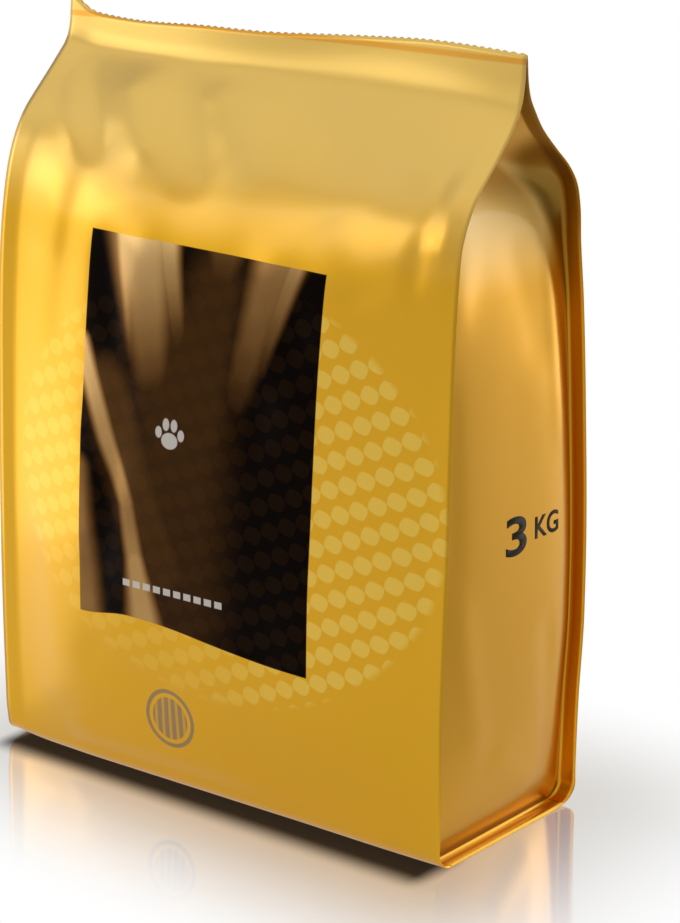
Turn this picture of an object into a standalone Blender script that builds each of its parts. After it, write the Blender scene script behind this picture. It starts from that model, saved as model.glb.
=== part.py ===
"""Filled pet food bag, sealed and standing on its flat base.

The bag is one closed pack: a web of metallised film runs down the front, under the base and up the
back, a side panel closes each end, and a flat seal closes the top. The film is welded to itself
all round, so the bag and what it holds are modelled as one solid. Front is -Y, up is +Z, and the
origin is the centre of the base.

The section changes from a rectangle with four fins at the base to a flat seal at the top, so the
solid is a loft through level rings that all have the same points.
"""

import bmesh
import bpy
from math import cos, pi, sin

# Driving dimensions, in metres
WEB_WIDTH = 0.260  # front panel from fin edge to fin edge
HEIGHT = 0.351  # floor to the cut edge of the top seal
FIN_WIDTH = 0.0095  # welded strip outside each side panel
FIN_THICKNESS = 0.0008
BASE_DEPTH = 0.088  # flat part of the base, front to back
BASE_RADIUS = 0.009  # fold between the base and the front or back panel
SEAL_START = 0.329  # height at which the top seal begins
SEAL_THICKNESS = 0.0014
NOTCH_TOP = 0.3255  # height at which the tucked side panels meet the seal

# Height, half depth at the side seams, half depth at the middle of the panel and how far the
# side panel stands out (plus) or is tucked in (minus), for each level above the base fold
LEVELS = (
    (0.020, 0.0534, 0.0555, 0.0020),
    (0.040, 0.0540, 0.0585, 0.0038),
    (0.065, 0.0545, 0.0608, 0.0048),
    (0.095, 0.0543, 0.0612, 0.0050),
    (0.130, 0.0533, 0.0596, 0.0048),
    (0.165, 0.0522, 0.0573, 0.0042),
    (0.200, 0.0509, 0.0544, 0.0032),
    (0.230, 0.0493, 0.0510, 0.0016),
    (0.252, 0.0474, 0.0474, -0.0010),
    (0.268, 0.0450, 0.0436, -0.0045),
    (0.280, 0.0422, 0.0396, -0.0100),
    (0.289, 0.0388, 0.0356, -0.0165),
    (0.297, 0.0335, 0.0309, -0.0230),
    (0.305, 0.0258, 0.0250, -0.0310),
    (0.312, 0.0188, 0.0188, -0.0370),
    (0.319, 0.0120, 0.0124, -0.0420),
    (NOTCH_TOP, 0.0062, 0.0066, -0.0460),
)

# How finely the solid is drawn
PANEL_STEPS = 24  # across the front or back panel
SIDE_STEPS = 12  # across a side panel
FOLD_STEPS = 4  # round the fold at the base

OBJECT_NAME = "pet_food_bag"
NODE_NAME = "bag"


def clear_scene():
    for item in list(bpy.data.objects):
        bpy.data.objects.remove(item, do_unlink=True)


def film_material():
    material = bpy.data.materials.new("gold_film")
    material.use_nodes = True
    shader = material.node_tree.nodes["Principled BSDF"]
    shader.inputs["Base Color"].default_value = (0.58, 0.33, 0.05, 1.0)
    shader.inputs["Metallic"].default_value = 1.0
    shader.inputs["Roughness"].default_value = 0.32
    return material


def panel_points(half_width, seam_depth, middle_depth):
    """One long side of the ring, from the left fin edge to the right fin edge."""
    points = []
    body_half = half_width - FIN_WIDTH
    for step in range(PANEL_STEPS + 1):
        across = -1.0 + 2.0 * step / PANEL_STEPS
        swell = (middle_depth - seam_depth) * (1.0 - across * across)
        points.append((across * body_half, -(seam_depth + swell)))
    left_edge = (-half_width, -seam_depth)
    right_edge = (half_width, -seam_depth)
    return [left_edge] + points + [right_edge]


def side_points(half_width, root, seam_depth, stand_out, fin_thickness):
    """The right end of the ring between its two fins, from front to back."""
    inner_depth = seam_depth - fin_thickness
    sharpness = 2.0 if stand_out > 0.0 else 1.25
    points = [(half_width, -inner_depth)]
    for step in range(SIDE_STEPS + 1):
        across = -1.0 + 2.0 * step / SIDE_STEPS
        swell = stand_out * (1.0 - abs(across) ** sharpness)
        points.append((root + swell, across * inner_depth))
    points.append((half_width, inner_depth))
    return points


def ring(height, seam_depth, middle_depth, stand_out, root, fin_thickness):
    """All points of the section at one height, anticlockwise seen from above."""
    half_width = WEB_WIDTH / 2.0
    front = panel_points(half_width, seam_depth, middle_depth)
    right = side_points(half_width, root, seam_depth, stand_out, fin_thickness)
    half = front + right
    other_half = [(-x, -y) for x, y in half]
    return [(x, y, height) for x, y in half + other_half]


def base_rings():
    """The flat base, the fold round its edge and the fin that lies on the floor at each side."""
    rings = []
    half_depth = BASE_DEPTH / 2.0
    fin_edge = WEB_WIDTH / 2.0 - FIN_THICKNESS / 4.0
    root = WEB_WIDTH / 2.0 - FIN_WIDTH
    rings.append(ring(0.0, half_depth, half_depth, 0.0, fin_edge, FIN_THICKNESS))
    for step in range(1, FOLD_STEPS + 1):
        angle = 0.5 * pi * step / FOLD_STEPS
        depth = half_depth + BASE_RADIUS * sin(angle)
        height = BASE_RADIUS * (1.0 - cos(angle))
        if step == 1:
            rings.append(ring(height, depth, depth, 0.0, fin_edge, FIN_THICKNESS))
            height += FIN_THICKNESS / 4.0
        rings.append(ring(height, depth, depth, 0.0, root, FIN_THICKNESS))
    return rings


def body_rings():
    root = WEB_WIDTH / 2.0 - FIN_WIDTH
    rings = []
    for height, seam_depth, middle_depth, stand_out in LEVELS:
        rings.append(ring(height, seam_depth, middle_depth, stand_out, root, FIN_THICKNESS))
    return rings


def seal_rings():
    """The top seal, where both panels and the tucked side panels are welded flat."""
    half = SEAL_THICKNESS / 2.0
    edge = WEB_WIDTH / 2.0 - half / 2.0
    wall = half * 0.75
    return [ring(height, half, half, 0.0, edge, wall) for height in (SEAL_START, HEIGHT)]


def loft(rings):
    """A closed mesh through the rings, with a flat face at each end."""
    shape = bmesh.new()
    levels = [[shape.verts.new(point) for point in points] for points in rings]
    count = len(levels[0])
    for lower, upper in zip(levels, levels[1:]):
        for index in range(count):
            following = (index + 1) % count
            corners = (lower[index], lower[following], upper[following], upper[index])
            shape.faces.new(corners)
    shape.faces.new(list(reversed(levels[0])))
    shape.faces.new(levels[-1])
    bmesh.ops.recalc_face_normals(shape, faces=shape.faces)
    mesh = bpy.data.meshes.new(NODE_NAME)
    shape.to_mesh(mesh)
    shape.free()
    return mesh


def build_bag():
    mesh = loft(base_rings() + body_rings() + seal_rings())
    mesh.materials.append(film_material())
    mesh.shade_smooth()
    mesh.set_sharp_from_angle(angle=0.6)
    return bpy.data.objects.new(NODE_NAME, mesh)


def main():
    clear_scene()
    collection = bpy.data.collections.new(OBJECT_NAME)
    bpy.context.scene.collection.children.link(collection)
    collection.objects.link(build_bag())


main()
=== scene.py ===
# %% [markdown]
# # A filled pet food bag in gold metallised film
#
# The bag is made of three films welded together: a web that runs down the front, under the base
# and up the back, and a side panel at each end. This lesson builds the three films over a plain
# solid of the bag, prints them and lights them in a small studio.
#
# The first cell loads the plain solid. The width of the films is taken from it.

from math import cos, pi, radians, sin

import bmesh
import bpy
import numpy as np
from mathutils import Matrix, Vector, noise
from mathutils.bvhtree import BVHTree


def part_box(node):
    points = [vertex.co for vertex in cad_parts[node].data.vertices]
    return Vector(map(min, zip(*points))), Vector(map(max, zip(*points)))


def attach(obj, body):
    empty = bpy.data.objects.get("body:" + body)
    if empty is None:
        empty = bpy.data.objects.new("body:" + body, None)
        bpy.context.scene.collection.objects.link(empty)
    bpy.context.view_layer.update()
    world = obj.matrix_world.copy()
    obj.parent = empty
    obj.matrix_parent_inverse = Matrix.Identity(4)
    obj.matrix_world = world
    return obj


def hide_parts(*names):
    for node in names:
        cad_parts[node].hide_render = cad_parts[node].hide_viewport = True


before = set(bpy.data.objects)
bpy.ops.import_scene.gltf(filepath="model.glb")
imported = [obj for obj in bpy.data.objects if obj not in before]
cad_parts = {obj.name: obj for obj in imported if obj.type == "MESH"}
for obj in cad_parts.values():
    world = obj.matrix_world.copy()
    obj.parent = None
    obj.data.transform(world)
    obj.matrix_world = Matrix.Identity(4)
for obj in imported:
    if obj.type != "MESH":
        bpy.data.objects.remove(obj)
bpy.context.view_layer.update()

LOW, HIGH = (Vector(corner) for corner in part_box("bag"))
HALF_WIDTH = HIGH.x
print("bag solid", [round(size, 4) for size in HIGH - LOW])

# %% [markdown]
# ## The camera
#
# The camera looks down a little on the front and the right side. It is placed by the point that
# it looks at, its distance and its two angles, so each can be changed alone.

# %% Camera
AZIMUTH = radians(38.47)
PITCH = radians(16.23)
ROLL = radians(0.33)
DISTANCE = 1.2632
LENS = 107.249  # on a sensor 36 mm long, fitted to the longer side of the picture
AIM = Vector((0.0, 0.0, 0.19))
AIM_RIGHT = -0.02477  # how far the aim point sits from the middle of the view, in metres
AIM_UP = 0.03690


def place_camera():
    back = Vector((sin(AZIMUTH) * cos(PITCH), -cos(AZIMUTH) * cos(PITCH), sin(PITCH)))
    level_right = back.cross(Vector((0.0, 0.0, 1.0))).normalized() * -1.0
    level_up = back.cross(level_right)
    right = level_right * cos(ROLL) + level_up * sin(ROLL)
    up = level_up * cos(ROLL) - level_right * sin(ROLL)
    data = bpy.data.cameras.new("studio_camera")
    data.lens = LENS
    data.sensor_width = 36.0
    data.clip_start = 0.05
    camera = bpy.data.objects.new("studio_camera", data)
    bpy.context.scene.collection.objects.link(camera)
    place = AIM + back * DISTANCE - right * AIM_RIGHT - up * AIM_UP
    turn = Matrix((right, up, back)).transposed().to_4x4()
    camera.matrix_world = Matrix.Translation(place) @ turn
    bpy.context.scene.camera = camera
    print("camera at", [round(value, 3) for value in place])


place_camera()

# %% [markdown]
# ## Curves from a few stations
#
# A filled bag has few sharp shapes. Each profile is given by some stations (height, value) and
# read from a smooth curve through them. The slopes are limited so that the curve never swings
# past a station, which would show as a false dent in shiny film.

# %% Smooth curve through stations
MM = 0.001


def smooth_curve(stations):
    """A function of height in metres, from (height, value) pairs in millimetres."""
    at, value = (np.array(column) * MM for column in zip(*stations))
    rise = np.diff(value) / np.diff(at)
    slope = np.concatenate(([rise[0]], 0.5 * (rise[:-1] + rise[1:]), [rise[-1]]))
    limit = 3.0 * np.minimum(np.abs(rise[:-1]), np.abs(rise[1:]))
    same_way = rise[:-1] * rise[1:] > 0.0
    slope[1:-1] = np.where(same_way, np.clip(slope[1:-1], -limit, limit), 0.0)

    def read(height):
        height = np.clip(height, at[0], at[-1])
        index = np.clip(np.searchsorted(at, height) - 1, 0, len(at) - 2)
        span = at[index + 1] - at[index]
        t = (height - at[index]) / span
        start = (1.0 + 2.0 * t) * (1.0 - t) ** 2 * value[index]
        end = t * t * (3.0 - 2.0 * t) * value[index + 1]
        lean_in = t * (1.0 - t) ** 2 * span * slope[index]
        lean_out = t * t * (t - 1.0) * span * slope[index + 1]
        return start + end + lean_in + lean_out

    return read


def smooth_step(low, high, value):
    t = np.clip((value - low) / (high - low), 0.0, 1.0)
    return t * t * (3.0 - 2.0 * t)


# %% [markdown]
# ## The shape of the filled bag
#
# The kibble pushes the lower half out, and above it the panels lean together at about 45 degrees
# until they meet in the top seal. Each panel has three profiles: one at each side seam and one
# down its middle.

# %% Profiles, all in millimetres
FOLD_RADIUS = 9.0 * MM
FIN_WIDTH = 9.5 * MM
FRONT_RIGHT = smooth_curve((
    (9, 52.6), (60, 53.3), (104, 52.0), (143, 50.4), (192, 49.4), (234, 48.1), (262, 46.3),
    (276, 44.4), (286, 40.4), (297, 33.2), (305, 25.0), (315, 15.3), (324, 7.4), (332, 2.6),
    (351, 0.4)))
FRONT_LEFT = smooth_curve((
    (9, 55.8), (70, 56.5), (170, 54.8), (242, 51.4), (265, 48.4), (284, 44.2), (297, 39.0),
    (307, 32.4), (317, 22.4), (327, 11.6), (334, 4.2), (351, 0.4)))
FRONT_MIDDLE = smooth_curve((
    (9, 53.4), (35, 57.6), (79, 60.6), (110, 60.4), (150, 58.0), (190, 54.8), (230, 50.2),
    (258, 45.8), (275, 40.2), (290, 32.4), (304, 22.6), (316, 13.4), (327, 5.8), (336, 1.9),
    (344, 0.6), (351, 0.4)))
BACK_RIGHT = smooth_curve((
    (9, 54.0), (50, 55.0), (92, 57.6), (120, 57.4), (192, 53.3), (239, 49.2), (266, 45.6),
    (282, 44.2), (293, 40.8), (301, 34.4), (309, 25.0), (318, 15.0), (326, 8.4), (333, 3.6),
    (351, 0.4)))
BACK_LEFT = smooth_curve((
    (9, 54.4), (70, 55.2), (150, 54.2), (220, 50.6), (262, 45.6), (280, 41.0), (294, 33.6),
    (305, 25.0), (316, 15.0), (326, 6.6), (333, 2.6), (351, 0.4)))
BACK_MIDDLE = smooth_curve((
    (9, 53.6), (35, 57.0), (85, 60.2), (125, 59.6), (165, 57.0), (205, 53.0), (240, 48.2),
    (262, 43.6), (282, 35.2), (300, 25.0), (315, 13.6), (329, 3.2), (336, 0.7), (351, 0.4)))
print("depth at the belly", round(float(FRONT_MIDDLE(0.09) + BACK_MIDDLE(0.09)), 4))

# %% [markdown]
# ## Creases
#
# Film doesn't stretch, so where a flat sheet is forced to close it buckles in long soft ridges
# and valleys. Each crease is a straight line on the panel with a round cross-section: where it
# starts and ends, how wide it is and how far it stands out. Sculpting would do as well, but a
# short list is easy to change and gives the same bag each time.

# %% Creases on the front and back, in millimetres: x, z of both ends, width, height
FRONT_CREASES = (
    (-122, 326, -92, 294, 6, 1.6), (-114, 332, -74, 288, 8, -1.9), (-82, 328, -50, 292, 9, 1.9),
    (-60, 332, -14, 284, 12, -2.1), (-30, 330, 8, 298, 13, 1.0), (30, 306, 112, 294, 10, -1.3),
    (30, 322, 118, 322, 7, 0.9), (113, 306, 108, 254, 6, -1.8),
    (-98, 296, -104, 240, 12, 1.0), (-82, 290, -92, 200, 9, -1.0), (-60, 280, -40, 236, 16, 0.7),
    (-38, 262, -52, 190, 9, 0.5), (-64, 262, -44, 176, 10, -0.8), (28, 262, 42, 190, 13, 1.1),
    (50, 236, 24, 168, 10, -0.8), (64, 286, 84, 244, 16, -0.9), (-76, 178, -60, 110, 13, 1.0),
    (-52, 160, -58, 96, 9, -0.9), (-96, 120, -90, 46, 12, 0.8), (-70, 66, -18, 44, 12, -0.9),
    (-6, 74, 62, 44, 13, 0.7), (-120, 34, -84, 16, 10, -0.9), (70, 30, 116, 18, 10, -0.7),
    (96, 60, 118, 22, 9, 0.6), (-30, 22, 44, 16, 10, 0.5),
)
BACK_CREASES = (
    (-112, 320, -76, 286, 9, 1.3), (-86, 326, -44, 282, 11, -1.5), (-30, 322, 8, 280, 13, 1.3),
    (24, 326, 52, 286, 10, -1.3), (70, 322, 104, 292, 9, 1.2), (112, 298, 116, 258, 5, 1.1),
    (-100, 290, -106, 210, 10, -0.9), (-64, 270, -50, 200, 16, 0.9), (20, 268, 6, 206, 15, -0.9),
    (76, 262, 92, 180, 14, 0.9), (-90, 120, -110, 60, 13, 0.8), (60, 96, 104, 44, 15, -0.8),
    (-40, 58, 30, 36, 15, 0.8),
)
SIDE_CREASES = (
    (-20, 292, -36, 236, 9, 0.5), (6, 276, 24, 214, 11, -0.4), (-34, 120, -18, 40, 9, 0.8),
    (30, 96, 38, 24, 7, -0.8), (-6, 40, 28, 14, 9, 0.6), (34, 262, 40, 170, 6, 0.7),
    (-40, 220, -38, 130, 6, -0.6),
)


FULL_SHARE = 0.32  # a crease keeps its height this far from its middle, as a share of its length
FADE_SHARE = 0.18  # and then fades over this much of it
RIPPLE_WIDTH = 0.045  # size of the broad unevenness, in metres
RIPPLE_HEIGHT = 0.085


def crease_relief(across, up, creases):
    """How far the film stands out at each point because of the creases, in metres."""
    relief = np.zeros_like(across)
    for x0, z0, x1, z1, width, height in creases:
        run = np.array((x1 - x0, z1 - z0)) * MM
        length = np.hypot(*run)
        along = ((across - x0 * MM) * run[0] + (up - z0 * MM) * run[1]) / length**2
        beyond = np.clip(np.abs(along - 0.5) - FULL_SHARE, 0.0, None) / FADE_SHARE
        aside = ((across - x0 * MM) * run[1] - (up - z0 * MM) * run[0]) / length
        relief += height * MM * np.exp(-(aside / (width * MM)) ** 2 - beyond**2)
    return relief


def ripple(across, up, seed):
    """Low, broad unevenness, as loose food gives to the film."""
    places = (across / RIPPLE_WIDTH, up / RIPPLE_HEIGHT, np.full_like(up, seed))
    points = np.stack(places, axis=-1)
    values = [noise.noise(Vector(point)) for point in points.reshape(-1, 3)]
    return np.array(values).reshape(across.shape)


# %% [markdown]
# ## The web film
#
# The web is drawn as a grid: columns across the bag, rows down the front, round the fold, along
# the base and up the back. The panels swell between the seams and run out flat past them as
# fins. The top row alternates up and down, which is the toothed cut of the sealing machine.

# %% Panel shape
TOP = 0.351  # height of the cut edge, in metres
WELD = HALF_WIDTH - FIN_WIDTH
TOOTH = 0.8 * MM
FILM = 0.18 * MM
EDGE_ROUND = 48.0 * MM  # the left end of each panel is rounded over this width
SHOULDER = 4.6 * MM  # how far the rounded left end stands out
PANEL_POWER = 2.8  # how squarely a panel swells between its seams
RIPPLE = 0.55 * MM
WELD_STEP = 0.7 * MM  # the film stands out by this much where it leaves the weld
SEAL_FOOT, SEAL_CLOSED = 0.318, 0.336  # heights between which the panels close, in metres
BASE_FREE = 0.02  # height above which the film is free of the fold at the base
TUCK_EDGE = 0.071  # how far from the middle the tucked side films reach inside the seal
THIN_SEAL, THICK_SEAL = 0.24 * MM, 0.52 * MM  # half the seal, without and with the tucked films
LEFT_FLARE, RIGHT_FLARE = 0.16, -0.10  # slope of the fins, outward and back


def panel_depth(x, z, left, middle, right, creases, seed):
    """How far a panel stands in front of (or behind) the middle plane at x, z."""
    side = np.clip(x / WELD, -1.0, 1.0)
    seam = left(z) + (right(z) - left(z)) * (0.5 + 0.5 * side)
    swell = 1.0 - np.abs(side) ** PANEL_POWER
    depth = seam + (middle(z) - seam) * swell
    loose = 1.0 - np.abs(side) ** 6
    open_part = smooth_step(SEAL_CLOSED, SEAL_FOOT, z) * smooth_step(0.0, BASE_FREE, z)
    relief = crease_relief(x, z, creases) + RIPPLE * ripple(x, z, seed)
    relief += WELD_STEP * smooth_step(WELD, WELD - 0.005, np.abs(x))
    rim = np.clip((WELD + x) / EDGE_ROUND, 0.0, 1.0)
    relief += SHOULDER * (1.0 - (1.0 - rim) ** 2) * smooth_step(0.06, -0.08, x)
    tucked = smooth_step(TUCK_EDGE - 0.004, TUCK_EDGE, np.abs(x))
    layers = THIN_SEAL + (THICK_SEAL - THIN_SEAL) * tucked
    flare = np.where(x < 0.0, LEFT_FLARE, RIGHT_FLARE) * np.clip(np.abs(x) - WELD, 0.0, None)
    return np.maximum(depth + (relief * loose + flare) * open_part, layers)


def top_lean(x, z):
    """The sealed top isn't quite flat: it waves a little from end to end."""
    sealed = smooth_step(0.300, TOP, z)
    wave = 1.6 * np.sin(x * 17.0 + 0.6) + 0.9 * np.sin(x * 41.0)
    return wave * MM * sealed


def top_rise(x, z):
    """The left corner of the seal flicks up and the rest of it runs in a shallow wave."""
    sealed = smooth_step(SEAL_FOOT, TOP, z)
    left_flick = 7.0 * np.exp(-((x + HALF_WIDTH) / 0.009) ** 2)
    dip = -2.8 * np.exp(-((x + 0.085) / 0.035) ** 2)
    crown = 2.4 * np.exp(-((x - 0.085) / 0.045) ** 2)
    slack = -1.8 * np.exp(-((x + 0.018) / 0.036) ** 2)
    return (left_flick + dip + crown + slack) * MM * sealed


def front_depth(x, z):
    return panel_depth(x, z, FRONT_LEFT, FRONT_MIDDLE, FRONT_RIGHT, FRONT_CREASES, 3.1)


def back_depth(x, z):
    return panel_depth(x, z, BACK_LEFT, BACK_MIDDLE, BACK_RIGHT, BACK_CREASES, 8.7)


def base_lift(x, y):
    """The floor of the bag is slack, and two of its corners don't touch down."""
    camber = 0.5 * (1.0 - (x / HALF_WIDTH) ** 2) * (1.0 - (y / 0.05) ** 2)
    left_corner = 2.2 * np.exp(-((x + 0.130) ** 2 + (y + 0.052) ** 2) / 0.012**2)
    right_corner = 1.6 * np.exp(-((x - 0.130) ** 2 + (y - 0.052) ** 2) / 0.010**2)
    return (np.clip(camber, 0.0, None) + left_corner + right_corner) * MM


# %% Points of the web, row by row
SEAL_FROM = 0.329  # height of the lower edge of the seal
SLOPE_FROM = 0.260  # height where the panels start to lean together
PANEL_HEIGHTS = np.concatenate((
    np.linspace(TOP, SEAL_FROM, 9), np.linspace(SEAL_FROM, SLOPE_FROM, 36)[1:],
    np.linspace(SLOPE_FROM, FOLD_RADIUS, 92)[1:]))
FOLD_ANGLES = np.linspace(0.0, pi / 2.0, 8)[1:]
COLUMNS = np.concatenate((
    np.linspace(-HALF_WIDTH, -WELD, 5), np.linspace(-WELD, WELD, 122)[1:-1],
    np.linspace(WELD, HALF_WIDTH, 5)))


def web_rows():
    """Rows of (x, y, z) from the cut edge in front, under the base, to the cut edge behind."""
    x = COLUMNS
    teeth = np.where(np.arange(len(x)) % 2, -TOOTH, 0.0)
    halves = []
    for sign, depth_at in ((-1.0, front_depth), (1.0, back_depth)):
        rows = []
        for number, height in enumerate(PANEL_HEIGHTS):
            z = np.full_like(x, height)
            y = sign * depth_at(x, z) + top_lean(x, z)
            z = z + top_rise(x, z) + (teeth if number == 0 else 0.0)
            rows.append(np.stack((x, y, z), axis=-1))
        fold_depth = depth_at(x, np.full_like(x, FOLD_RADIUS))
        for angle in FOLD_ANGLES:
            y = sign * (fold_depth - FOLD_RADIUS * (1.0 - cos(angle)))
            z = FOLD_RADIUS * (1.0 - sin(angle)) + base_lift(x, y) * sin(angle)
            rows.append(np.stack((x, y, z), axis=-1))
        halves.append(rows)
    front, back = halves
    base = []
    for share in np.linspace(0.0, 1.0, 12)[1:-1]:
        y = front[-1][:, 1] * (1.0 - share) + back[-1][:, 1] * share
        base.append(np.stack((x, y, base_lift(x, y)), axis=-1))
    return np.array(front + base + back[::-1]), len(front)


# %% [markdown]
# ## From a grid of points to a mesh
#
# All the films are grids, so one function makes the mesh. It also lays out the flat map that a
# texture would use. The web is cut in two at the front fold: the print gets half of the map, and
# the base and the back share the other half.

# %% Grid to mesh
def grid_object(name, rows, map_uv):
    """A mesh of quads from rows of points, facing out, with a flat map named OFBake."""
    height, width = rows.shape[:2]
    shape = bmesh.new()
    verts = [shape.verts.new(point) for point in rows.reshape(-1, 3)]
    layer = shape.loops.layers.uv.new("OFBake")
    for row in range(height - 1):
        for column in range(width - 1):
            corners = ((row, column), (row + 1, column), (row + 1, column + 1), (row, column + 1))
            face = shape.faces.new([verts[r * width + c] for r, c in corners])
            face.smooth = True
            for loop, corner in zip(face.loops, corners):
                loop[layer].uv = map_uv(*corner, row)
    mesh = bpy.data.meshes.new(name)
    shape.to_mesh(mesh)
    shape.free()
    piece = bpy.data.objects.new(name, mesh)
    bpy.context.scene.collection.objects.link(piece)
    return piece


def add_thickness(piece):
    """Gives the sheet the thickness of heavy laminate, towards the inside of the bag."""
    solid = piece.modifiers.new("film_thickness", "SOLIDIFY")
    solid.thickness = FILM
    solid.offset = -1.0


web_points, FRONT_ROWS = web_rows()
web_lengths = np.linalg.norm(np.diff(web_points[:, len(COLUMNS) // 2], axis=0), axis=1)
web_along = np.concatenate(([0.0], np.cumsum(web_lengths)))


def web_map(row, column, face_row):
    across = (COLUMNS[column] + HALF_WIDTH) / (2.0 * HALF_WIDTH)
    if face_row < FRONT_ROWS - 1:
        share = web_along[row] / web_along[FRONT_ROWS - 1]
        return (0.01 + 0.48 * across, 0.99 - 0.98 * share)
    rest = web_along[-1] - web_along[FRONT_ROWS - 1]
    share = (web_along[row] - web_along[FRONT_ROWS - 1]) / rest
    return (0.51 + 0.48 * across, 0.99 - 0.98 * share)


web = grid_object("web_film", web_points, web_map)
add_thickness(web)
print("web film is", round(float(web_along[-1]), 3), "m long,", len(web.data.polygons), "faces")

# %% [markdown]
# ## The side films
#
# A side film is welded to the web along its front, bottom and back edge. Its edge lies flat
# against the web as the inner layer of the fin, and inside the weld it leaves the web at a right
# angle and bellies out. Above the kibble it is tucked in, deeper and deeper, until it lies folded
# between the two panels in the seal.

# %% Side panel shape
STAND_OUT = smooth_curve((
    (0, 0), (6, 1.2), (20, 3.0), (60, 5.0), (110, 5.6), (160, 5.0), (205, 3.6), (240, 1.6),
    (258, 0), (351, 0)))
TUCK = smooth_curve((
    (0, 0), (250, 0), (264, 1.2), (276, 4.4), (288, 11.0), (298, 20.5), (308, 31), (318, 40.5),
    (328, 47.5), (351, 48.5)))
FRONT_BULGE, REAR_BULGE = 2.4, 6.5  # how squarely the side swells at the front and behind
FULLER_BEHIND = 0.35  # how much further out it stands behind, as a share
SIDE_RIPPLE = 0.5 * MM
EDGE_STEP = 0.2 * MM  # the side film ends this much inside the edge of the web
LAYER_GAP = 2.0 * FILM + 0.03 * MM
FIN_COLUMNS = COLUMNS[-5:][::-1].copy()  # the same columns as the web, so the two films stay apart
FIN_COLUMNS[0] -= EDGE_STEP
# Where the fold of the tuck lies between the seams: -1 in front, 1 behind, in thousandths
APEX = smooth_curve((
    (0, 500), (262, 620), (285, 600), (300, 480), (315, 180), (325, 0), (351, 0)))


def seam_line(sign, x, height, angle=0.0):
    """Points on the inner face of the web at each x, on the front (-1) or back (+1)."""
    depth_at = front_depth if sign < 0.0 else back_depth
    heights = np.full_like(x, max(height, FOLD_RADIUS))
    depth = depth_at(x, heights)
    if angle > 0.0:
        radius = FOLD_RADIUS - LAYER_GAP
        y = depth - FOLD_RADIUS + radius * cos(angle)
        z = FOLD_RADIUS - radius * sin(angle) + base_lift(x, sign * y) * sin(angle)
    else:
        slope = (depth_at(x, heights + MM) - depth_at(x, heights - MM)) / (2.0 * MM)
        y = np.maximum(depth - LAYER_GAP * np.hypot(1.0, slope), 0.02 * MM)
        z = np.full_like(x, height)
    return np.stack((x, sign * y, z), axis=-1)


def tuck_share(across, height):
    """How deep each point across the panel is tucked, 0 at the seams and 1 at the fold."""
    apex = float(APEX(height))
    side = np.where(across > apex, (across - apex) / (1.0 - apex), (apex - across) / (1.0 + apex))
    blunt = 0.06 * smooth_step(0.325, 0.290, height)
    sharp = 0.5 + 0.30 * smooth_step(0.325, 0.280, height)
    ends = (1.0 + blunt) ** sharp
    return (ends - (side**2 + blunt) ** sharp) / (ends - blunt**sharp)


def side_rows(side):
    """Rows from the top edge down to the base, each from the front fin to the back fin."""
    across = np.linspace(-1.0, 1.0, 57)
    rows = []
    heights = PANEL_HEIGHTS.copy()
    heights[0] -= 1.2 * TOOTH  # the side film ends just below the teeth
    levels = [(height, 0.0) for height in heights] + [(0.0, angle) for angle in FOLD_ANGLES]
    for height, angle in levels:
        front = seam_line(-1.0, side * FIN_COLUMNS, height, angle)
        back = seam_line(1.0, side * FIN_COLUMNS, height, angle)
        start, end = front[-1], back[-1]
        z_level = 0.5 * (start[2] + end[2])
        y = start[1] + (end[1] - start[1]) * (0.5 + 0.5 * across)
        z = start[2] + (end[2] - start[2]) * (0.5 + 0.5 * across)
        fuller_behind = 1.0 + FULLER_BEHIND * smooth_step(-0.5, 0.7, across)
        power = np.where(across < 0.0, FRONT_BULGE, REAR_BULGE)
        bulge = STAND_OUT(z_level) * fuller_behind * (1.0 - np.abs(across) ** power)
        tuck = TUCK(z_level) * tuck_share(across, z_level)
        where = np.full_like(y, z_level)
        taut = smooth_step(0.325, 0.305, z_level) * smooth_step(0.0, BASE_FREE, z_level)
        relief = crease_relief(y, where, SIDE_CREASES)
        relief += SIDE_RIPPLE * ripple(y, where, side * 5.0)
        x = WELD + bulge - tuck + relief * (1.0 - across**4) * taut
        panel = np.stack((side * x, y, z), axis=-1)
        row = np.concatenate((front[:-1], panel, back[::-1][1:]))
        row[:, 1] += top_lean(row[:, 0], row[:, 2])
        row[:, 2] += top_rise(row[:, 0], row[:, 2])
        rows.append(row)
    inner = slice(len(FIN_COLUMNS) - 1, 1 - len(FIN_COLUMNS))
    for step in (0.5, 1.0):
        line = rows[-1].copy()
        line[inner, 0] = side * (WELD + (FIN_WIDTH - EDGE_STEP) * step)
        line[inner, 2] = base_lift(line[inner, 0], line[inner, 1]) + LAYER_GAP
        rows.append(line)
    return np.array(rows)


def side_film(side, name):
    rows = side_rows(side)
    if side < 0.0:
        rows = rows[:, ::-1]
    height, width = rows.shape[:2]
    piece = grid_object(
        name, rows,
        lambda row, column, face_row: (
            0.01 + 0.98 * column / (width - 1), 0.99 - 0.98 * row / (height - 1)))
    add_thickness(piece)
    across = np.linalg.norm(np.diff(rows, axis=1), axis=2).sum(axis=1).max()
    down = np.linalg.norm(np.diff(rows, axis=0), axis=2).sum(axis=0).max()
    flat_size = [round(float(length), 3) for length in (across, down)]
    print(name, "is", flat_size, "m when flat,", len(piece.data.polygons), "faces")
    return piece


right_side = side_film(1.0, "side_film_right")
left_side = side_film(-1.0, "side_film_left")

# %% [markdown]
# ## Shader maths in plain Python
#
# The print is made of masks: a number between 0 and 1 at each point of the film. `Value` wraps a
# socket and overloads the operators, so a mask reads like a formula, and `Tree.node` makes any
# other node in one call.

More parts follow.
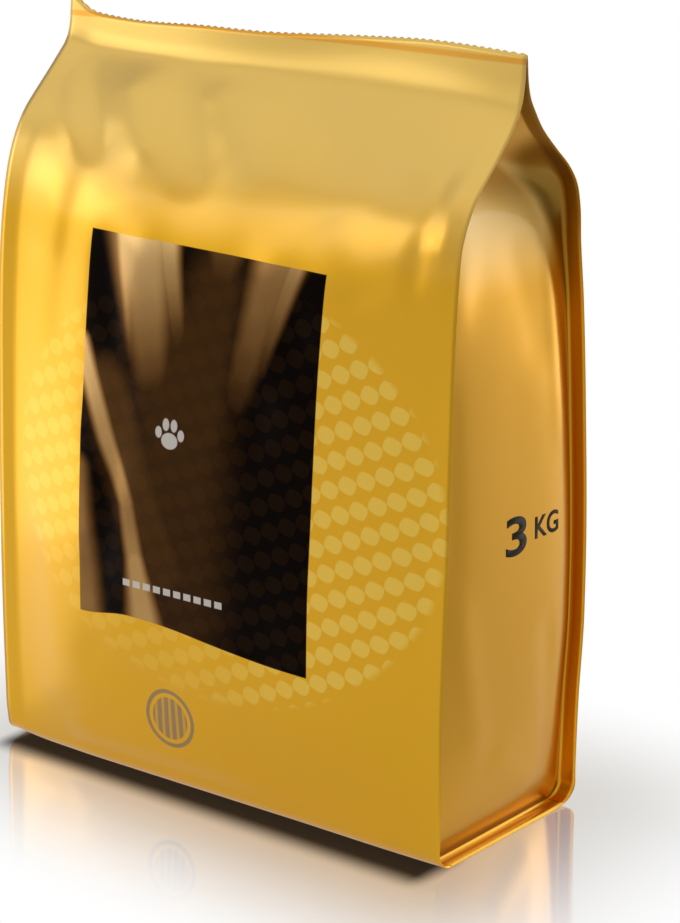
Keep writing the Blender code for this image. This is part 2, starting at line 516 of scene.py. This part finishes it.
# %% Node helpers
class Value:
    """A number at each point of the surface, as the output of a shader node."""

    def __init__(self, tree, socket):
        self.tree = tree
        self.socket = socket

    def math(self, operation, *others):
        return self.tree.node("ShaderNodeMath", {"operation": operation}, (self, *others))

    def __add__(self, other):
        return self.math("ADD", other)

    def __radd__(self, other):
        return self.math("ADD", other)

    def __sub__(self, other):
        return self.math("SUBTRACT", other)

    def __rsub__(self, other):
        return (self * -1.0) + other

    def __mul__(self, other):
        return self.math("MULTIPLY", other)

    def __rmul__(self, other):
        return self.math("MULTIPLY", other)

    def __truediv__(self, other):
        return self.math("DIVIDE", other)

    def abs(self):
        return self.math("ABSOLUTE")

    def max(self, other):
        return self.math("MAXIMUM", other)

    def min(self, other):
        return self.math("MINIMUM", other)


class Tree:
    """The node tree of one material, or of the world."""

    def __init__(self, owner):
        owner.use_nodes = True
        self.nodes = owner.node_tree.nodes
        self.links = owner.node_tree.links
        self.shader = self.nodes.get("Principled BSDF")

    def node(self, kind, settings=None, inputs=(), output=0):
        """Adds a node: its settings first, then its sockets, by order or by name."""
        made = self.nodes.new(kind)
        for name, value in (settings or {}).items():
            setattr(made, name, value)
        pairs = inputs.items() if isinstance(inputs, dict) else enumerate(inputs)
        for key, value in pairs:
            self.feed(made.inputs[key], value)
        return Value(self, made.outputs[output])

    def feed(self, socket, value):
        if isinstance(value, Value):
            self.links.new(value.socket, socket)
        else:
            socket.default_value = value

    def position(self):
        """x, y and z on the object, in metres."""
        place = self.node("ShaderNodeTexCoord", output="Object")
        split = self.node("ShaderNodeSeparateXYZ", inputs=(place,))
        outputs = split.socket.node.outputs
        return place, [Value(self, outputs[axis]) for axis in "XYZ"]

    def ramp(self, value, low, high):
        """0 below low, 1 above high, and smooth between them."""
        settings = {"interpolation_type": "SMOOTHSTEP"}
        return self.node("ShaderNodeMapRange", settings, (value, low, high, 0.0, 1.0))

    def mix(self, factor, first, second):
        """A blend of two colours, each a colour or a link."""
        settings = {"data_type": "RGBA"}
        return self.node("ShaderNodeMix", settings, {0: factor, 6: first, 7: second}, output=2)

    def blend(self, factor, first, second):
        """A blend of two shaders, each the output of a shader node."""
        made = self.node("ShaderNodeMixShader", inputs=(factor,))
        self.links.new(first, made.socket.node.inputs[1])
        self.links.new(second, made.socket.node.inputs[2])
        return made.socket

    def noise(self, vector, scale, detail=2.0):
        inputs = {"Vector": vector, "Scale": scale, "Detail": detail}
        return self.node("ShaderNodeTexNoise", {}, inputs, output="Fac")


EDGE = 0.25 * MM  # how soft the edge of a printed shape is


def rectangle(tree, x, z, low, high):
    """1 inside the rectangle between the two corners (x, z), in millimetres."""
    middle = [(a + b) / 2.0 * MM for a, b in zip(low, high)]
    half = [(b - a) / 2.0 * MM for a, b in zip(low, high)]
    aside = (x - middle[0]).abs() - half[0]
    above = (z - middle[1]).abs() - half[1]
    return 1.0 - tree.ramp(aside.max(above), -EDGE, EDGE)


def ellipse(tree, x, z, centre, radii, soft=EDGE):
    """1 inside the ellipse, in millimetres."""
    a = (x - centre[0] * MM) / (radii[0] * MM)
    b = (z - centre[1] * MM) / (radii[1] * MM)
    distance = (a * a + b * b).math("SQRT")
    blur = soft / (min(radii) * MM)
    return 1.0 - tree.ramp(distance, 1.0 - blur, 1.0 + blur)


# %% [markdown]
# ## The gold film
#
# The laminate is a bright metal layer under a transparent gold ink and a clear outer film. The
# metal gives the colour of every reflection, and the clear film adds a thin white reflection of
# its own on top: a fully metallic shader with a coat. Near the top of the bag the film is made
# paler, and a thin orange line runs just under the cut edge.

# %% Gold film
GOLD = (0.68, 0.355, 0.010, 1.0)
PALE_GOLD = (0.70, 0.455, 0.105, 1.0)
EDGE_GOLD = (0.66, 0.27, 0.010, 1.0)
SIDE_GOLD = (0.66, 0.325, 0.018, 1.0)
# Painted light on the fins, and below it the painted shade on them higher up
FIN_PAINTED_LIGHT = (0.86, 0.40, 0.012, 1.0)
FIN_SHADE_HIGH_UP = (0.32, 0.15, 0.005, 1.0)
# Painted shade for the side film behind the fold of the tuck
PAINTED_FOLD_SHADE = (0.24, 0.11, 0.004, 1.0)
# Painted light for the tucked side film in front of the fold
PAINTED_TUCK_LIGHT = (0.98, 0.64, 0.17, 1.0)
LATTICE_GOLD = (0.76, 0.52, 0.085, 1.0)
COAT = 0.3  # weight of the clear outer film


def gold_film(name, gold):
    """A film material and the parts of it that the print changes."""
    material = bpy.data.materials.new(name)
    tree = Tree(material)
    place, axes = tree.position()
    z = axes[2]
    uneven = tree.noise(place, 22.0)
    high_up = tree.ramp(z + uneven * 0.03, 0.275, 0.325)
    colour = tree.mix(high_up, gold, PALE_GOLD)
    cut_strip = tree.ramp(z, 0.3468, 0.3476) * (1.0 - tree.ramp(z, 0.3492, 0.3502))
    colour = tree.mix(cut_strip * 0.7, colour, EDGE_GOLD)
    rough = 0.276 + uneven * 0.04 + high_up * 0.03
    tree.shader.inputs["Metallic"].default_value = 1.0
    tree.shader.inputs["Coat Weight"].default_value = COAT
    tree.shader.inputs["Coat Roughness"].default_value = 0.12
    tree.shader.inputs["Coat IOR"].default_value = 1.5
    return material, tree, place, axes, colour, rough


# %% [markdown]
# ## Shading of the side films
#
# At the top the side films are tucked in and creased, and look duller there. The tucked film in
# front of the fold is painted paler, as painted light, and the part behind the fold is painted
# dark, as painted shade. These tones are laid on here, so that they show under plain light too,
# with masks of height and depth. The fins are painted a brighter orange, as painted light, with
# painted shade higher up. Their mask comes from the flat map, whose two ends are the fins.

# %% Side films
FOLD_DEPTH = 0.0507  # the fold lies this far behind the middle plane at the height below
FOLD_HEIGHT = 0.223
FOLD_BEND = 0.284  # height above which the fold leans forward more
FIN_SHARE = (0.058, 0.074)  # where the fin ends on the flat map, as a share of its width


def shade_side_films():
    material, tree, _, (_, y, z), colour, rough = gold_film("gold_film_side", SIDE_GOLD)
    fold_line = FOLD_DEPTH - (z - FOLD_HEIGHT) * 0.27 - (z - FOLD_BEND).max(0.0) * 0.20
    # Painted shade on the side film behind the fold of the tuck
    shade_behind_fold = tree.ramp(y - fold_line, -0.004, 0.003) * tree.ramp(z, 0.220, 0.250)
    # The tucked film in front of the fold is made duller, and is painted paler as painted light
    creased_and_lit = tree.ramp(z, 0.245, 0.285) * (1.0 - shade_behind_fold)
    colour = tree.mix(creased_and_lit * 0.9, colour, PAINTED_TUCK_LIGHT)
    colour = tree.mix(shade_behind_fold * 0.75, colour, PAINTED_FOLD_SHADE)
    flat_map = tree.node("ShaderNodeUVMap", {"uv_map": "OFBake"})
    along = tree.node("ShaderNodeSeparateXYZ", inputs=(flat_map,))
    in_fin = 1.0 - tree.ramp(0.5 - (along - 0.5).abs(), *FIN_SHARE)
    # Painted light on the fins low down, blending into painted shade higher up
    fin_light_and_shade = tree.mix(tree.ramp(z, 0.225, 0.290), FIN_PAINTED_LIGHT, FIN_SHADE_HIGH_UP)
    colour = tree.mix(in_fin, colour, fin_light_and_shade)
    tree.feed(tree.shader.inputs["Base Color"], colour)
    tree.feed(tree.shader.inputs["Roughness"], rough + creased_and_lit * 0.2)
    tree.feed(tree.shader.inputs["Metallic"], 1.0 - creased_and_lit * 0.8)
    for film in (right_side, left_side):
        film.data.materials.append(material)
    print("side film shader", len(tree.nodes), "nodes")


shade_side_films()

# %% [markdown]
# ## The print on the front
#
# A tall dark panel is printed on the front, with small pale marks on it. Around it lies an oval
# field of pale lozenges, and below it sits a round badge. Each is a mask worked out from x and z,
# so it stays sharp at any size. The soft brown bands on the panel are painted reflections of what
# its glossy ink mirrors, so they keep their place when the bag is seen from elsewhere.

# %% Marks
PANEL_LOW, PANEL_HIGH = (-71.5, 78.6), (61.5, 258.2)
DARK_INK = (0.0025, 0.0009, 0.0003, 1.0)
# Dull and bright colours of the painted reflections on the dark panel
BROWN_REFLECTION = (0.52, 0.19, 0.025, 1.0)
TAN_REFLECTION = (0.84, 0.56, 0.23, 1.0)
PALE_MARK = (0.52, 0.47, 0.42, 1.0)
BADGE_INK = (0.20, 0.13, 0.075, 1.0)


LOZENGE_PITCH = 11.5 * MM


def lozenges(tree, x, z):
    """A diagonal lattice of small rounded lozenges, 0 to 1."""
    u = (x + z * 0.62) / LOZENGE_PITCH
    v = (z * 0.92 - x * 0.35) / LOZENGE_PITCH
    a = (u - u.math("ROUND")).abs() * 1.78
    b = (v - v.math("ROUND")).abs() * 2.25
    return 1.0 - tree.ramp(a.math("POWER", 1.5) + b.math("POWER", 1.5), 0.72, 0.86)


def band(tree, x, z, ends, widths, strengths):
    """A soft band between two ends (x, z), in millimetres, with a strength at each end."""
    (x0, z0), (x1, z1) = ends
    run_x, run_z = (x1 - x0) * MM, (z1 - z0) * MM
    from_x, from_z = x - x0 * MM, z - z0 * MM
    square = run_x * run_x + run_z * run_z
    along = ((from_x * run_x + from_z * run_z) / square).max(0.0).min(1.0)
    aside_x, aside_z = from_x - along * run_x, from_z - along * run_z
    distance = (aside_x * aside_x + aside_z * aside_z).math("SQRT")
    width = along * ((widths[1] - widths[0]) * MM) + widths[0] * MM
    strength = along * (strengths[1] - strengths[0]) + strengths[0]
    return (1.0 - tree.ramp(distance / width, 0.25, 1.0)) * strength


# Painted reflections on the dark panel, as soft bands
# Both ends (x, z), then the width and the strength at each of them
REFLECTION_BANDS = (
    (((-42, 268), (-29, 186)), (27, 12), (0.95, 0.0)),
    (((-52, 268), (-41, 206)), (11, 6), (1.0, 0.1)),
    (((-29, 268), (-17, 218)), (10, 7), (0.95, 0.1)),
    (((38, 268), (14, 186)), (20, 9), (0.50, 0.0)),
    (((48, 266), (28, 206)), (8, 5), (0.66, 0.0)),
    (((6, 266), (4, 232)), (15, 10), (0.22, 0.0)),
    (((-74, 208), (-56, 166)), (8, 8), (0.75, 0.52)),
    (((-56, 166), (-43, 138)), (8, 7), (0.52, 0.38)),
    (((-43, 138), (-37, 112)), (7, 8), (0.34, 0.50)),
    (((-37, 112), (-31, 80)), (8, 15), (0.55, 0.60)),
    (((-58, 190), (-22, 112)), (20, 24), (0.12, 0.08)),
    (((-72, 150), (-69, 82)), (9, 17), (0.2, 0.34)),
    (((-14, 214), (-12, 96)), (42, 40), (0.08, 0.05)),
    (((2, 244), (-2, 180)), (24, 24), (0.08, 0.07)),
)


def reflection_bands(tree, x, z):
    total = None
    for ends, widths, strengths in REFLECTION_BANDS:
        share = band(tree, x, z, ends, widths, strengths)
        total = share if total is None else total.max(share)
    return total


TOES = (
    (-0.58, 0.30, 0.17, 0.24), (-0.21, 0.66, 0.17, 0.26),
    (0.21, 0.66, 0.17, 0.26), (0.58, 0.30, 0.17, 0.24))  # across, up, wide and tall


def paw(tree, x, z, centre, size):
    """A plain paw print: one pad and four toes."""
    mask = ellipse(tree, x, z, centre, (0.42 * size, 0.34 * size))
    for across, up, wide, tall in TOES:
        toe_centre = (centre[0] + across * size, centre[1] + up * size)
        mask = mask.max(ellipse(tree, x, z, toe_centre, (wide * size, tall * size)))
    return mask


BAR_PITCH = 4.2 * MM


def badge(tree, x, z, centre, radius):
    """A ring round a field of upright bars."""
    disc = ellipse(tree, x, z, centre, (radius, radius))
    inner = ellipse(tree, x, z, centre, (radius * 0.86, radius * 0.86))
    core = ellipse(tree, x, z, centre, (radius * 0.72, radius * 0.72))
    stripe = x * (1.0 / BAR_PITCH)
    bars = 1.0 - tree.ramp((stripe - stripe.math("ROUND")).abs(), 0.26, 0.34)
    return disc * (1.0 - inner) + core * (0.35 + bars * 0.65)


# %% Front print on the web
PANEL_SAG = 0.0045  # the lower edge of the dark panel hangs by this much left of its middle
PANEL_SLANT = 0.03  # the panel is printed a little out of level
DASH_PITCH = 6.0 * MM
LATTICE_STRENGTH = 0.68


def panel_mask(tree, x, z):
    sag = tree.ramp(x, -0.072, -0.040) * (1.0 - tree.ramp(x, -0.030, 0.050)) * PANEL_SAG
    low_part = 1.0 - tree.ramp(z, 0.100, 0.200)
    return rectangle(tree, x, z + x * PANEL_SLANT - sag * low_part, PANEL_LOW, PANEL_HIGH)


def pale_marks(tree, x, z):
    """The paw and, below it, a row of dashes."""
    dash_at = x * (1.0 / DASH_PITCH)
    dashes = 1.0 - tree.ramp((dash_at - dash_at.math("ROUND")).abs(), 0.33, 0.37)
    dash_row = rectangle(tree, x, z, (-45.0, 98.8), (15.0, 102.0)) * dashes
    return paw(tree, x, z, (-18.5, 171.0), 11.0).max(dash_row)


def print_web():
    material, tree, _, (x, y, z), colour, rough = gold_film("gold_film_printed", GOLD)
    front = 1.0 - tree.ramp(y, -0.004, -0.002)
    dark = panel_mask(tree, x, z) * front
    field = ellipse(tree, x, z, (7.0, 152.0), (122.0, 98.0), 2.0 * MM) * front
    to_right = tree.ramp(x, -0.02, 0.075) * 0.65 + 0.35
    lattice = lozenges(tree, x, z) * field
    strength = lattice * to_right * (1.0 - dark) * LATTICE_STRENGTH
    colour = tree.mix(strength, colour, LATTICE_GOLD)

    # Painted reflections: soft brown bands laid over the dark ink of the panel
    shine = reflection_bands(tree, x, z)
    reflection_tone = tree.mix(shine, BROWN_REFLECTION, TAN_REFLECTION)
    ink = tree.mix((shine + lattice * 0.012).min(1.0), DARK_INK, reflection_tone)
    colour = tree.mix(dark, colour, ink)

    pale = pale_marks(tree, x, z) * front
    colour = tree.mix(pale * 0.9, colour, PALE_MARK)
    round_badge = badge(tree, x, z, (-19.0, 38.0), 14.5) * front
    colour = tree.mix(round_badge * 0.8, colour, BADGE_INK)

    left_edge = tree.ramp(0.0 - x, 0.068, 0.082)
    brow = tree.ramp(z, 0.258, 0.268) * (1.0 - tree.ramp(z, 0.285, 0.305))
    glossier = (left_edge * 0.10).max(brow * 0.35) * front
    shader = tree.shader.inputs
    tree.feed(shader["Base Color"], colour)
    tree.feed(shader["Roughness"], rough - dark * 0.045)
    tree.feed(shader["Coat Weight"], (COAT + glossier) * (1.0 - dark * 0.9))
    tree.feed(shader["Metallic"], 1.0 - pale * 0.8 - round_badge * 0.5)
    web.data.materials.append(material)
    print("web film shader", len(tree.nodes), "nodes")


print_web()

# %% [markdown]
# ## The weight on the side
#
# The right side carries the weight in plain figures. The figures are a text object turned into a
# mesh, cut fine and laid on the film point by point with a ray, a hair above it, so they follow
# its curve.

# %% Weight figures
INK_GAP = 0.12 * MM  # the figures float this far above the film
INK_THICKNESS = INK_GAP * 0.8
BOLDER = 0.018  # how much the strokes are thickened, as a share of the size of the letters
CUT_FROM, CUT_STEP, CUTS = 126.0, 2.5, 12  # level cuts through the figures, in millimetres
OUTSIDE = 0.2  # a place well to the right of the bag, in metres


def figure_shape(words, size, corner, stretch):
    """The words as a flat shape, with its points as (y, z) on the side panel."""
    curve = bpy.data.curves.new("figures", "FONT")
    curve.body = words
    curve.size = size
    curve.resolution_u = 6
    curve.offset = BOLDER * size
    source = bpy.data.objects.new("figures", curve)
    bpy.context.scene.collection.objects.link(source)
    depsgraph = bpy.context.evaluated_depsgraph_get()
    mesh = bpy.data.meshes.new_from_object(source.evaluated_get(depsgraph))
    bpy.data.objects.remove(source)
    shape = bmesh.new()
    shape.from_mesh(mesh)
    bmesh.ops.scale(shape, verts=shape.verts, vec=(1.0 + stretch, 1.0, 1.0))
    bmesh.ops.translate(shape, verts=shape.verts, vec=(*corner, 0.0))
    return shape


def lay_on_side(shape):
    """Moves each point of a flat shape straight in until it meets the side film."""
    surface = BVHTree.FromObject(right_side, bpy.context.evaluated_depsgraph_get())
    inward = Vector((-1.0, 0.0, 0.0))
    for vert in shape.verts:
        place, normal, _, _ = surface.ray_cast(Vector((OUTSIDE, vert.co.x, vert.co.y)), inward)
        vert.co = place + normal * INK_GAP


def weight_figures():
    shape = figure_shape("3", 24.5 * MM, (-3.8 * MM, 131.5 * MM), 0.52)
    unit = figure_shape("KG", 14.0 * MM, (18.0 * MM, 135.5 * MM), 0.0)
    unit_mesh = bpy.data.meshes.new("unit")
    unit.to_mesh(unit_mesh)
    shape.from_mesh(unit_mesh)
    for cut in range(CUTS):
        height = (CUT_FROM + CUT_STEP * cut) * MM
        geometry = shape.verts[:] + shape.edges[:] + shape.faces[:]
        bmesh.ops.bisect_plane(shape, geom=geometry, plane_co=(0, height, 0), plane_no=(0, 1, 0))
    lay_on_side(shape)
    bmesh.ops.remove_doubles(shape, verts=shape.verts, dist=0.00001)
    mesh = bpy.data.meshes.new("weight_figures")
    shape.to_mesh(mesh)
    piece = bpy.data.objects.new("weight_figures", mesh)
    bpy.context.scene.collection.objects.link(piece)
    ink = piece.modifiers.new("ink_thickness", "SOLIDIFY")
    ink.thickness = INK_THICKNESS
    return piece


def ink_figures(piece):
    """Matt black ink, printed a little unevenly."""
    material = bpy.data.materials.new("black_ink")
    tree = Tree(material)
    place, _ = tree.position()
    tone = tree.noise(place, 300.0)
    colour = tree.mix(tone, (0.015, 0.011, 0.006, 1.0), (0.035, 0.024, 0.012, 1.0))
    tree.feed(tree.shader.inputs["Base Color"], colour)
    tree.shader.inputs["Roughness"].default_value = 0.6
    tree.shader.inputs["Specular IOR Level"].default_value = 0.2
    piece.data.materials.append(material)


figures = weight_figures()
ink_figures(figures)
print("weight figures", len(figures.data.polygons), "faces")

# %% [markdown]
# ## Fitting the films to the solid
#
# The three films and the figures stand for the one solid of the frame. They ride on its only
# body.

# %% Ride and replace
for piece in (web, right_side, left_side, figures):
    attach(piece, "root")
    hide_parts("bag")

# %% [markdown]
# ## The studio
#
# Shiny film shows what stands round it more than its own colour. The floor is pale, and glossy
# close to the bag. To the camera it is plain, but what the film mirrors of it carries painted
# shade on the right and a painted glow on the left, as beside the lamps of a studio. A dark band
# along the front of the bag is a painted shadow under its rounded edge.
#
# Each shader here has constant values, and masks only say how much of each one shows.

# %% Floor
def emission(tree, strength):
    """A white glow of one strength."""
    return tree.node("ShaderNodeEmission", inputs={"Strength": strength}).socket


def mirror(tree, tint):
    """A slightly blurred mirror of one tint."""
    return tree.node("ShaderNodeBsdfGlossy", inputs={"Color": tint, "Roughness": 0.07}).socket


FLOOR_HALF = 6.0
FLOOR_DROP = 0.0002  # the floor lies this far under the bag, so that the two don't touch
GLOSS_REACH = 0.13  # the floor is plain beyond this distance from the bag


def floor_masks(tree):
    """Where the floor is far from the bag, glossy, in contact, in shade and in the glow."""
    _, (x, y, _) = tree.position()
    outside_x = (x.abs() - 0.12).max(0.0)
    outside_y = (y.abs() - 0.045).max(0.0)
    away = (outside_x * outside_x + outside_y * outside_y).math("SQRT")
    gloss = 1.0 - tree.ramp(away, 0.0, GLOSS_REACH)
    beside = 1.0 - tree.ramp(x.abs(), 0.122, 0.134)
    forward = 0.0 - y
    # Painted contact shadow: a dark band on the floor along the front of the bag
    contact = tree.ramp(forward, 0.030, 0.040) * (1.0 - tree.ramp(forward, 0.058, 0.076)) * beside
    to_right = x - HALF_WIDTH
    # Painted shade right of the bag and a painted glow left of it, seen only in reflections
    shade = tree.ramp(to_right, 0.0, 0.10) * (1.0 - tree.ramp(y - to_right * 0.9, -0.15, 0.20))
    beyond_strip = (x + 0.085) * -0.726 + (y + 0.055) * 0.688
    glow = tree.ramp(beyond_strip, 0.0, 0.03) * tree.ramp(0.0 - x, 0.14, 0.17)
    return tree.ramp(away, 0.02, GLOSS_REACH), gloss, contact, shade, glow


def floor_material():
    material = bpy.data.materials.new("pale_floor")
    tree = Tree(material)
    tree.shader.inputs["Base Color"].default_value = (0.9, 0.9, 0.9, 1.0)
    tree.shader.inputs["Roughness"].default_value = 0.6
    far, gloss, contact, shade, glow = floor_masks(tree)
    seen = tree.node("ShaderNodeLightPath", output="Is Camera Ray")
    unseen = 1.0 - seen
    sweep = tree.blend(glow * unseen, emission(tree, 1.0), emission(tree, 1.65))
    sweep = tree.blend(shade * unseen, sweep, emission(tree, 0.5))
    lit = seen * (far * 0.13 + 0.87) + unseen * (shade * 0.35 + 0.40)
    ground = tree.blend(lit, tree.shader.outputs[0], sweep)
    polished = tree.blend(gloss * seen * 0.74, ground, mirror(tree, (0.86, 0.82, 0.76, 1.0)))
    joined = tree.blend(contact * seen * 0.96, polished, mirror(tree, (0.02, 0.02, 0.02, 1.0)))
    tree.links.new(joined, tree.nodes["Material Output"].inputs[0])
    return material


def studio_floor():
    mesh = bpy.data.meshes.new("floor")
    shape = bmesh.new()
    bmesh.ops.create_grid(shape, x_segments=1, y_segments=1, size=FLOOR_HALF)
    shape.to_mesh(mesh)
    shape.free()
    floor = bpy.data.objects.new("floor", mesh)
    floor.location.z = -FLOOR_DROP
    bpy.context.scene.collection.objects.link(floor)
    mesh.materials.append(floor_material())


studio_floor()


# %% [markdown]
# ## Lights
#
# Four soft white panels do the work. The strip on the left makes the bright band down the left
# edge of the front, the softbox in front of it lights the strip above the dark panel, the one
# overhead lights the sloping top and the one behind lights the rear. The backdrop is white to the
# camera, and what the film mirrors of it is dim on the right and bright behind.

# %% Lights
def soft_light(name, place, aim, size, power):
    data = bpy.data.lights.new(name, "AREA")
    data.shape = "RECTANGLE"
    data.size, data.size_y = size
    data.energy = power
    light = bpy.data.objects.new(name, data)
    light.location = place
    light.rotation_euler = (Vector(aim) - Vector(place)).to_track_quat("-Z", "Y").to_euler()
    light.visible_camera = False
    bpy.context.scene.collection.objects.link(light)


# Name, place, the point it faces, its size in metres and its power in watts
LIGHTS = (
    ("left_strip", (-0.398, -0.165, 0.212), (-0.04, 0.015, 0.212), (0.36, 0.40), 0.36),
    ("front_left_softbox", (-0.87, -0.73, 0.66), (-0.03, -0.05, 0.28), (0.60, 0.50), 1.15),
    ("top_softbox", (-0.3, -0.5, 1.6), (0.0, 0.0, 0.2), (1.6, 1.4), 2.6),
    ("back_softbox", (0.30, 0.80, 0.38), (0.10, 0.0, 0.38), (0.70, 0.72), 2.4),
)
for light_row in LIGHTS:
    soft_light(*light_row)


AIR_LEVELS = (0.70, 0.25, 1.05, 1.0)  # all round, on the right, behind and to the camera


def backdrop_glow(tree, level):
    white = {"Color": (1.0, 1.0, 1.0, 1.0), "Strength": level}
    return tree.node("ShaderNodeBackground", inputs=white).socket


def studio_air():
    """Light from all round, dim on the right and bright behind, and a white backdrop."""
    world = bpy.data.worlds.new("studio")
    tree = Tree(world)
    direction = tree.node("ShaderNodeTexCoord", output="Generated")
    split = tree.node("ShaderNodeSeparateXYZ", inputs=(direction,)).socket.node.outputs
    to_right, to_back = Value(tree, split["X"]), Value(tree, split["Y"])
    seen = tree.node("ShaderNodeLightPath", output="Is Camera Ray")
    around, dim, bright, backdrop = (backdrop_glow(tree, level) for level in AIR_LEVELS)
    sky = tree.blend(tree.ramp(to_right, 0.70, 0.90), around, dim)
    sky = tree.blend(tree.ramp(to_back, 0.80, 0.96), sky, bright)
    sky = tree.blend(seen, sky, backdrop)
    tree.links.new(sky, tree.nodes["World Output"].inputs[0])
    bpy.context.scene.world = world


studio_air()
bpy.context.scene.view_settings.view_transform = "Standard"
